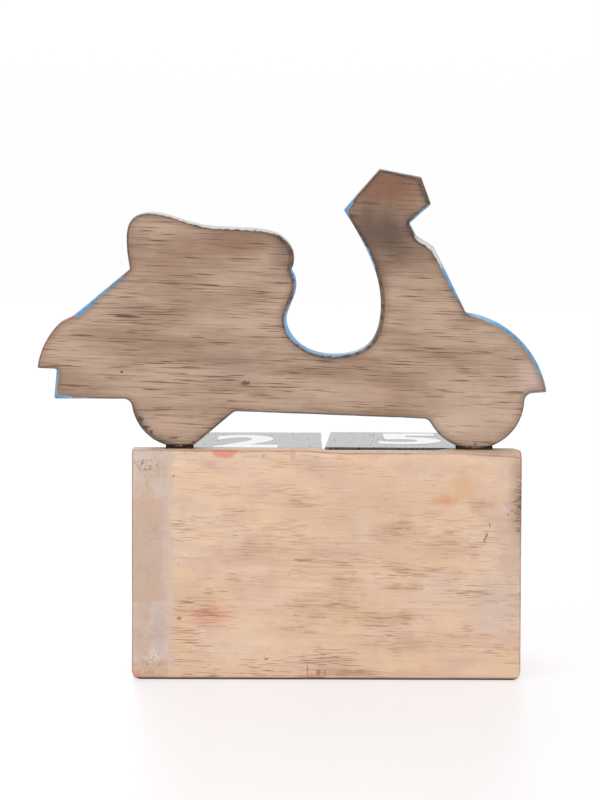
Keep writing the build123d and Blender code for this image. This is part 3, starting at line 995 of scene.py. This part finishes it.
scooter_tones = (tint(190, 164, 143), tint(158, 129, 109), tint(96, 68, 52))
scooter_figure = (12.0, 0.34, 0.25, 0.1, 0.55)
shade_depth = 12.0
knot_depth = 6.0
scooter_shades = (
    # middle (length, height), reach, strength, colour
    ((18.0, 79.0), (22.0, 14.0), 1.0, tint(130, 93, 71)),
    ((16.0, 64.8), (27.0, 15.5), 0.92, tint(90, 71, 61)),
    ((14.0, 54.0), (6.0, 16.0), 0.6, tint(112, 88, 76)),
    ((-13.0, 59.0), (6.0, 10.0), 0.6, tint(104, 80, 68)),
    ((-28.0, 61.0), (24.0, 8.0), 0.6, tint(136, 104, 84)),
    ((-57.0, 60.0), (5.0, 10.0), 0.5, tint(150, 116, 106)),
    ((-48.0, 38.0), (14.0, 4.0), 0.35, tint(136, 102, 80)),
    ((-72.0, 26.0), (15.0, 13.0), 0.2, tint(196, 170, 152)),
    ((-28.0, 24.0), (14.0, 9.0), 0.35, tint(158, 128, 116)),
    ((8.0, 16.5), (26.0, 7.0), 0.45, tint(202, 174, 152)),
    ((42.0, 11.0), (24.0, 17.0), 0.6, tint(210, 183, 161)),
    ((-46.0, 8.0), (16.0, 11.0), 0.5, tint(198, 170, 148)),
    ((61.0, 21.0), (6.0, 7.0), 0.6, tint(206, 182, 172)),
    ((34.0, 40.0), (10.0, 5.0), 0.4, tint(192, 166, 148)),
)
small_knots = (
    # middle (length, height) and reach
    ((-24.5, 19.8), (2.0, 0.9)),
    ((-61.6, 23.0), (0.6, 0.6)),
    ((-56.0, 8.8), (1.3, 1.2)),
    ((-54.2, 6.4), (1.4, 0.8)),
    ((-52.7, 5.0), (0.8, 0.9)),
    ((44.5, 1.6), (0.6, 0.6)),
    ((-46.0, 3.2), (2.0, 0.4)),
    ((-40.0, 2.0), (1.2, 0.4)),
)
scooter_wood = Finish("scooter_back_and_edges")
scooter_grain = scooter_wood.turned((0, 1, 0), 1.8)
scooter_pores = sawn_wood(scooter_wood, scooter_grain, along_x, scooter_tones, scooter_figure, 0.85, 20)


def on_bare_back(middle, reach, depth, **border):
    """A patch on the scooter's back, by its middle and its reach in length and height."""
    return scooter_wood.patch(on_scooter(*middle, half_thickness), (reach[0], depth, reach[1]), **border)


for shade_middle, shade_reach, shade_strength, shade_colour in scooter_shades:
    shade = on_bare_back(shade_middle, shade_reach, shade_depth, blur=1.0, ragged=0.3, grain=7.0)
    scooter_wood.lay(shade, shade_colour, shade_strength)
scooter_wood.lay(scooter_pores, scooter_tones[2], 0.55)
for knot_middle, knot_reach in small_knots:
    knot = on_bare_back(knot_middle, knot_reach, knot_depth, blur=0.6, ragged=0.6, grain=0.7)
    scooter_wood.lay(knot, tint(62, 42, 32), 0.75)
rim_tear = scooter_wood.mottle(0.6, detail=4, roughness=0.6)
torn_rim = scooter_wood.sum("MULTIPLY_ADD", rim_tear, -0.9, scooter_wood.noted("rim"))
lap_gap = scooter_wood.sum("SUBTRACT", torn_rim, scooter_wood.noted("lap"))
smudge_gap = scooter_wood.sum("SUBTRACT", lap_gap, scooter_wood.noted("smudge"))
scooter_wood.lay(scooter_wood.fade(smudge_gap, -0.4, 1.4, 0.28, 0.0), tint(92, 68, 56))
smudge = scooter_wood.fade(smudge_gap, -0.95, -0.35, 0.9, 0.0)
smudge = scooter_wood.both(smudge, scooter_wood.fade(rim_tear, 0.34, 0.56, 1.0, 0.55))
scooter_wood.lay(smudge, tint(62, 46, 38))
lapped = scooter_wood.fade(lap_gap, -0.5, -0.3, 1.0, 0.0)
on_wall = scooter_wood.fade(scooter_wood.noted("wall"), 0.35, 0.6)
edge_cover = scooter_wood.sum("MAXIMUM", lapped, on_wall)
edge_streaks = scooter_wood.mottle((0.5, 0.35, 0.5), (4, 8, 1), detail=4)
edge_worn = scooter_wood.fade(edge_streaks, 0.6, 0.72, 1.0, 0.35)
chalky = scooter_wood.fade(edge_streaks, 0.3, 0.6, 0.0, 0.15)
edge_paint = scooter_wood.mix(chalky, scooter_wood.noted("edge_colour", "Color"), tint(214, 222, 228))
scooter_wood.lay(scooter_wood.both(edge_cover, edge_worn), edge_paint)
scooter_wood.relief(scooter_wood.sum("SUBTRACT", 1.0, scooter_pores), 0.05)
scooter_back = scooter_wood.coat(scooter_wood.fade(edge_cover, 0, 1, 0.62, 0.42), gloss=0.35)

front = Finish("scooter_front_paint")
front_axes = (front.along(to_nose, stand_middle), front.along((0, 0, 1), stand_middle))
front_flat = front.node("ShaderNodeCombineXYZ", "Vector", front_axes)
brush_shake = front.sum("MULTIPLY_ADD", front.mottle(0.4), 0.9, -0.45)
brush_edge = 0.15


def brushed_disc(centre, reach):
    """How far a place lies inside a disc or oval painted by hand, in millimetres."""
    widest = max(reach)
    factors = (widest / reach[0], widest / reach[1], 1)
    shift = [-part * factor for part, factor in zip((*centre, 0), factors)]
    away = front.reach(front.scaled(front_flat, factors, shift))
    return front.sum("ADD", front.sum("SUBTRACT", widest, away), brush_shake)


def brushed_side(start, direction):
    """How far a place lies past a hand-drawn line through start, in a direction."""
    return front.sum("ADD", front.along((*direction, 0), (*start, 0), front_flat), brush_shake)


def brushed(gap, paint):
    """Lays a paint wherever a gap is above 0."""
    front.lay(front.fade(gap, -brush_edge, brush_edge), paint)


def outlined(gap, paint, width):
    """Draws a line of that width along the border where a gap is 0."""
    brushed(front.sum("SUBTRACT", width / 2, front.sum("ABSOLUTE", gap)), paint)


leftwards, upright, downwards = (-1, 0), (0, 1), (0, -1)
line_paint = tint(44, 46, 56)
fine_line, line, broad_line = 0.7, 0.9, 1.1
cowl_middle, cowl_reach = (-46.0, 33.0), (28.0, 17.0)
vents = ((-58.0, 36.0), (-53.0, 35.2), (-48.0, 34.4), (-43.0, 33.6))
vent_reach = (1.1, 5.0)
strip_top, strip_foot = (0, 13.6), (0, 7.0)
hubs = ((-44.3, 14.8), (44.3, 15.05))
tyre_reach, hub_reach, nut_reach = (15.4, 15.4), (8.4, 8.4), (2.6, 2.6)
tyre_above_hub = 1.5
nut_height = 13.0
seat_foot, seat_lean, seat_nose = (-30, 55.5), (0.04, 1), (0, 0)
tail_lamp, tail_lean = (-78.5, 32.0), (-0.93, 0.36)
shield_side, shield_lean, shield_foot = (33.0, 50.0), (0.93, 0.36), (0, 16.6)
neck, neck_lean, neck_line = (18.0, 69.0), (-0.1, 1), 0.8
lamp_middle, lamp_reach = (25.0, 76.2), (4.2, 4.6)

front_streaks = front.streaks(front.place, along_x, 22, 1.1, detail=3)
second_tone = front.fade(front_streaks, 0.35, 0.7)
front.colour = front.mix(second_tone, body_blue, tint(54, 120, 170))
cowl = brushed_disc(cowl_middle, cowl_reach)
brushed(cowl, tint(110, 166, 208))
outlined(cowl, seat_cream, broad_line)
for vent in vents:
    brushed(brushed_disc(vent, vent_reach), line_paint)
below_strip_top = brushed_side(strip_top, downwards)
brushed(front.sum("MINIMUM", below_strip_top, brushed_side(strip_foot, upright)), seat_cream)
outlined(below_strip_top, line_paint, fine_line)
for hub_length, hub_height in hubs:
    below_body = brushed_side((0, hub_height + tyre_above_hub), downwards)
    for disc_reach, disc_paint in ((tyre_reach, tyre_black), (hub_reach, tint(196, 196, 192))):
        disc = brushed_disc((hub_length, hub_height), disc_reach)
        brushed(front.sum("MINIMUM", disc, below_body), disc_paint)
    brushed(brushed_disc((hub_length, nut_height), nut_reach), line_paint)
seat = front.sum("MINIMUM", brushed_side(seat_foot, seat_lean), brushed_side(seat_nose, leftwards))
tail = brushed_side(tail_lamp, tail_lean)
shield = brushed_side(shield_side, shield_lean)
shield = front.sum("MINIMUM", shield, brushed_side(shield_foot, upright))
for gap, gap_paint, gap_line in (
    (seat, seat_cream, line),
    (tail, lamp_red, fine_line),
    (shield, seat_cream, fine_line),
):
    brushed(gap, gap_paint)
    outlined(gap, line_paint, gap_line)
outlined(brushed_side(neck, neck_lean), line_paint, neck_line)
head_lamp = brushed_disc(lamp_middle, lamp_reach)
brushed(head_lamp, tint(244, 230, 170))
outlined(head_lamp, tint(190, 192, 194), broad_line)
front_chips = front.mottle(0.5, (2, 9, 4), detail=5, roughness=0.65)
rim_loss = front.fade(front.noted("rim"), 0.3, 2.2, 0.16, 0.0)
chipped = front.fade(front.sum("ADD", front_chips, rim_loss), 0.69, 0.73)
front.lay(chipped, scooter_tones[0])
front.relief(front.sum("SUBTRACT", front_streaks, chipped), 0.05)
scooter_front = front.coat(front.fade(chipped, 0, 1, 0.34, 0.6))
scooter_sides = [scooter_back, scooter_front]
set_in_place("scooter_board_sawn", scooter_shape, scooter_sides, "holder", "scooter_board")


# Wheel glue: a low pad of dark brown glue under each wheel, squeezed out round its foot.
# It has set in small lumps and still shines a little.
glue_longest_edge = 0.7
glue_cuts = 5
glue_lump, glue_lump_span = 0.16, 1.3
glue_sunk, glue_set_in = 0.3, 0.6
glue = Finish("dark_glue")
glue_cloud = glue.mottle(0.8, detail=3)
glue.colour = glue.mix(glue.fade(glue_cloud, 0.35, 0.7), tint(36, 22, 13), tint(62, 41, 28))
glue.relief(glue_cloud, 0.1)
dark_glue = glue.coat(glue.fade(glue_cloud, 0.3, 0.7, 0.4, 0.6), gloss=0.2)

for wheel in ("rear_wheel", "front_wheel"):
    pad = bmesh.new()
    pad.from_mesh(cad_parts[wheel + "_glue"].data)
    bmesh.ops.scale(pad, vec=(1 / mm,) * 3, verts=pad.verts)
    bmesh.ops.remove_doubles(pad, verts=pad.verts, dist=1e-4)
    for _ in range(glue_cuts):
        long_edges = [edge for edge in pad.edges if edge.calc_length() > glue_longest_edge]
        bmesh.ops.subdivide_edges(pad, edges=long_edges, cuts=1)
        bmesh.ops.triangulate(pad, faces=pad.faces)
    pad.normal_update()
    lumps = [(vert, vert.normal.copy(), noise.noise(vert.co / glue_lump_span)) for vert in pad.verts]
    for vert, outward, lump in lumps:
        faces_down, faces_back = outward.z <= -0.5, outward.y > 0.3
        if faces_down:
            vert.co.z -= glue_sunk
        else:
            vert.co += Vector((outward.x, outward.y, max(0.0, outward.z))) * glue_lump * lump
        if faces_back:
            vert.co.y -= glue_set_in
    set_in_place(wheel + "_glue_bead", pad, [dark_glue], "holder", wheel + "_glue")


# Month bars: three square bars that lie one behind the other under the cubes. Each is
# painted satin black, with a month lettered in white on each of its four long sides.
black_grid = 1.5


def black_coat(name):
    """Satin black paint over wood, rubbed brown along the arrises and dusty on the flats, with the faces
    that look up painted lighter grey: some dust, and a painted sheen.
    """
    finish = Finish(name)
    brush = finish.streaks(finish.place, along_x, 16, 0.9, detail=3)
    dust = finish.mottle(0.2, detail=4)
    chips = finish.mottle(1.1, (6, 3, 8), detail=4, roughness=0.65)
    finish.colour = finish.mix(finish.fade(dust, 0.4, 0.75, 0.0, 0.5), tint(34, 32, 31), tint(62, 58, 55))
    # Faces that look up are painted lighter grey: partly dust, partly a painted sheen of the bright
    # surroundings.
    facing = finish.node("ShaderNodeNewGeometry", "Normal")
    facing_up = finish.node("ShaderNodeSeparateXYZ", "Z", (facing,))
    top_dust_and_sheen = finish.fade(facing_up, 0.8, 0.97)
    top_dust_and_sheen = finish.both(top_dust_and_sheen, finish.fade(chips, 0.3, 0.7, 0.6, 0.1))
    finish.lay(top_dust_and_sheen, tint(112, 110, 108))
    worn = finish.both(finish.noted("arris"), finish.fade(chips, 0.42, 0.58, 0.1, 0.9))
    finish.lay(worn, tint(74, 60, 50))
    finish.relief(brush, 0.03)
    dull = finish.fade(dust, 0.3, 0.7, 0.03, 0.1)
    dull = finish.sum("MULTIPLY_ADD", finish.fade(chips, 0.58, 0.66), 0.35, dull)
    scuffs = finish.streaks(finish.place, along_y, 13, 0.8, 4)
    return finish.coat(dull, finish.fade(scuffs, 0.58, 0.68, 1.0, 0.06))


def white_coat(name):
    """White lettering paint, a little yellowed and thin in places."""
    finish = Finish(name)
    thin = finish.mottle(0.7, detail=4)
    finish.colour = finish.mix(finish.fade(thin, 0.45, 0.75), tint(254, 253, 251), tint(240, 237, 232))
    finish.relief(thin, 0.03)
    finish.shader.inputs["Coat Weight"].default_value = 1.0
    return finish.coat(0.08, gloss=0.8)


lettering_sink = 0.12
lettering_rise = 0.05
lettering_weight = 0.035


def letter_mesh(words):
    """The built-in letter shapes of words, emboldened, as points from 0 to 1 thick and faces."""
    text = bpy.data.curves.new(words, "FONT")
    text.body = words
    text.offset = lettering_weight
    text.extrude = 0.5
    text.resolution_u = 8
    holder = in_scene(words, text)
    bpy.context.view_layer.update()
    mesh = bpy.data.meshes.new_from_object(holder.evaluated_get(bpy.context.evaluated_depsgraph_get()))
    points = np.array([vert.co for vert in mesh.vertices])
    faces = [list(face.vertices) for face in mesh.polygons]
    bpy.data.objects.remove(holder)
    bpy.data.curves.remove(text)
    bpy.data.meshes.remove(mesh)
    return points, faces


def letter_on(shape, words, middle, rightwards, upwards, width_scale, height_scale):
    """Letters words flat on a side, centred on its middle point, in millimetres."""
    points, faces = letter_mesh(words)
    centre = (points.min(axis=0) + points.max(axis=0)) / 2
    outwards = rightwards.cross(upwards)
    verts = []
    for point in points:
        sideways, raised, thick = point - centre
        spot = middle + rightwards * (sideways * width_scale) + upwards * (raised * height_scale)
        spot += outwards * (lettering_rise if thick > 0 else -lettering_sink)
        verts.append(shape.verts.new(spot))
    for face in faces:
        shape.faces.new([verts[corner] for corner in face])
    bmesh.ops.remove_doubles(shape, verts=verts, dist=1e-4)


bar_rounding = (0.6,) * 3
bar_unevenness, bar_wear = 0.03, 0.12
month_scale = (10.0, 12.0)
right, back, up = Vector((1, 0, 0)), Vector((0, 1, 0)), Vector((0, 0, 1))
bar_months = {
    "rear": ("JANUARY", "FEBRUARY", "MARCH", "APRIL"),
    "middle": ("MAY", "JUNE", "JULY", "AUGUST"),
    "front": ("OCTOBER", "NOVEMBER", "DECEMBER", "SEPTEMBER"),
}
bar_sides = ((right, up), (right, back), (right, -up), (right, -back))
bar_black = black_coat("bar_black_paint")
letter_white = white_coat("lettering_white_paint")
for bar, months in bar_months.items():
    bar_node = bar + "_month_bar"
    bar_low, bar_high = cad_corners(bar_node)
    bar_shape = planed_block(
        bar_low, bar_high, bar_rounding, bar_rounding, black_grid, bar_unevenness, bar_wear
    )
    set_in_place(bar_node + "_black", bar_shape, [bar_black], bar + "_bar", bar_node)
    month_shape = bmesh.new()
    for month, (reading, upwards) in zip(months, bar_sides):
        outwards = reading.cross(upwards)
        side_middle = (bar_low + bar_high) / 2 + outwards * (bar_high.z - bar_low.z) / 2
        letter_on(month_shape, month, side_middle, reading, upwards, *month_scale)
    set_in_place(bar + "_bar_months", month_shape, [letter_white], bar + "_bar")


# Number cubes: two loose hardwood cubes, painted satin black with tall white numerals.
# Both have 0, 1 and 2, so that every day can be shown. The tens cube stands a little askew.
cube_rounding = (0.4,) * 3
cube_unevenness, cube_wear = 0.02, 0.15
cube_sides = {
    "top": (-right, -back),
    "front": (right, up),
    "rear": (-right, up),
    "right": (back, up),
    "left": (-back, up),
    "bottom": (right, -back),
}
cubes = {
    # turn in degrees, width and height of the numerals, how far the top one sits off its
    # middle and how it is turned there, and the numeral on each side
    "tens": (
        -2.4,
        (21.0, 31.0),
        (2.4, 2.6),
        3.5,
        {"top": "5", "front": "1", "rear": "2", "right": "4", "left": "3", "bottom": "0"},
    ),
    "units": (
        0.0,
        (19.3, 35.0),
        (-0.3, -3.9),
        -1.5,
        {"top": "2", "front": "7", "rear": "1", "right": "8", "left": "6", "bottom": "0"},
    ),
}
cube_black = black_coat("cube_black_paint")
two_size = np.ptp(letter_mesh("2")[0], axis=0)
for cube, (cube_turn, numeral_size, top_shift, top_turn, numerals) in cubes.items():
    cube_node = cube + "_cube"
    cube_low, cube_high = cad_corners(cube_node)
    cube_middle = (cube_low + cube_high) / 2
    askew = Matrix.Rotation(math.radians(cube_turn), 3, "Z")
    half_size = (cube_high.z - cube_low.z) / 2
    low_corner, high_corner = (-half_size,) * 3, (half_size,) * 3
    cube_shape = planed_block(
        low_corner, high_corner, cube_rounding, cube_rounding, black_grid, cube_unevenness, cube_wear
    )
    bmesh.ops.rotate(cube_shape, matrix=askew, verts=cube_shape.verts)
    bmesh.ops.translate(cube_shape, vec=cube_middle, verts=cube_shape.verts)
    set_in_place(cube_node + "_black", cube_shape, [cube_black], cube + "_block", cube_node)
    numeral_shape = bmesh.new()
    numeral_scale = (numeral_size[0] / two_size[0], numeral_size[1] / two_size[1])
    for side, numeral in numerals.items():
        reading, upwards = [askew @ direction for direction in cube_sides[side]]
        side_middle = cube_middle + reading.cross(upwards) * half_size
        if side == "top":
            side_middle += reading * top_shift[0] + upwards * top_shift[1]
            numeral_askew = Matrix.Rotation(math.radians(top_turn), 3, "Z")
            reading, upwards = numeral_askew @ reading, numeral_askew @ upwards
        letter_on(numeral_shape, numeral, side_middle, reading, upwards, *numeral_scale)
    set_in_place(cube_node + "_numerals", numeral_shape, [letter_white], cube + "_block")


# Studio: a pale glossy table top that runs out to a white background, with broad soft
# lamps from both sides. Only what the camera and the reflections see of it is pure white.
table_reach = 40.0
table_mesh = bpy.data.meshes.new("table_top")
table_corners = [(-table_reach, -table_reach, 0), (table_reach, -table_reach, 0)]
table_corners += [(table_reach, table_reach, 0), (-table_reach, table_reach, 0)]
table_mesh.from_pydata(table_corners, [], [(0, 1, 2, 3)])
table_top = in_scene("table_top", table_mesh)


def lit_or_seen(tree, lit, seen, output):
    """Gives an output one shader for the light it sheds and another one for what is seen of it."""
    path = tree.nodes.new("ShaderNodeLightPath")
    share = path.outputs["Is Camera Ray"]
    for ray in ("Is Glossy Ray", "Is Transmission Ray"):
        either = tree.nodes.new("ShaderNodeMath")
        either.operation = "MAXIMUM"
        tree.links.new(share, either.inputs[0])
        tree.links.new(path.outputs[ray], either.inputs[1])
        share = either.outputs["Value"]
    mixed = tree.nodes.new("ShaderNodeMixShader")
    tree.links.new(share, mixed.inputs["Fac"])
    tree.links.new(lit, mixed.inputs[1])
    tree.links.new(seen, mixed.inputs[2])
    tree.links.new(mixed.outputs["Shader"], tree.nodes[output].inputs["Surface"])


table_gloss = Finish("table_top_white")
table_gloss.colour = tint(124, 123, 124)
table_mesh.materials.append(table_gloss.coat(0.42, gloss=0.4))
lit_white = {"Color": (1.0, 0.985, 0.99, 1.0), "Strength": 0.66}
lit_white = table_gloss.node("ShaderNodeEmission", "Emission", lit_white)
glossy_and_lit = (table_gloss.shader.outputs["BSDF"], lit_white)
seen_white = table_gloss.node("ShaderNodeAddShader", "Shader", glossy_and_lit)
plain_white = table_gloss.node("ShaderNodeBsdfDiffuse", "BSDF", {"Color": tint(232, 230, 228)})
lit_or_seen(table_gloss.tree, plain_white, seen_white, "Material Output")

studio_air = bpy.data.worlds.new("studio_air")
bpy.context.scene.world = studio_air
studio_air.use_nodes = True
air_nodes = studio_air.node_tree.nodes
air_light = air_nodes["Background"]
air_light.inputs["Color"].default_value = (1.0, 0.99, 0.99, 1.0)
air_light.inputs["Strength"].default_value = 0.58
air_seen = air_nodes.new("ShaderNodeBackground")
air_seen.inputs["Color"].default_value = (1.0, 1.0, 1.0, 1.0)
air_white = (air_light.outputs["Background"], air_seen.outputs["Background"])
lit_or_seen(studio_air.node_tree, *air_white, "World Output")

soft_lamps = (
    # place, size and power of each lamp, in metres and watts
    ((0.55, 0.95, 0.75), 0.8, 5.4),
    ((-0.75, 0.8, 0.6), 0.8, 3.8),
    ((0.4, -1.0, 0.8), 0.8, 4.0),
)
lamp_aim = Vector((0.0, 0.0, 0.07))
for number, (lamp_place, lamp_size, lamp_power) in enumerate(soft_lamps):
    lamp_light = bpy.data.lights.new(f"soft_lamp_{number}", "AREA")
    lamp_light.size = lamp_size
    lamp_light.energy = lamp_power
    lamp = in_scene(f"soft_lamp_{number}", lamp_light)
    lamp.location = lamp_place
    lamp.rotation_mode = "QUATERNION"
    lamp.rotation_quaternion = (lamp_aim - lamp.location).to_track_quat("-Z", "Y")


# Camera: a long lens behind the object, a little above it, as in the photograph.
camera_aim = Vector((8.1, 26.0, 84.3)) * mm
camera_distance = 1.6
camera_pitch = math.radians(5.67)
camera_roll = math.radians(0.17)
camera_data = bpy.data.cameras.new("camera")
camera_data.lens = 240
camera_data.clip_end = 100
camera = in_scene("camera", camera_data)
camera.location = camera_aim + camera_distance * Vector((0, math.cos(camera_pitch), math.sin(camera_pitch)))
camera_look = (camera_aim - camera.location).to_track_quat("-Z", "Y").to_matrix()
camera.rotation_mode = "QUATERNION"
camera.rotation_quaternion = (camera_look @ Matrix.Rotation(camera_roll, 3, "Z")).to_quaternion()
bpy.context.scene.camera = camera
bpy.context.scene.view_settings.view_transform = "Standard"
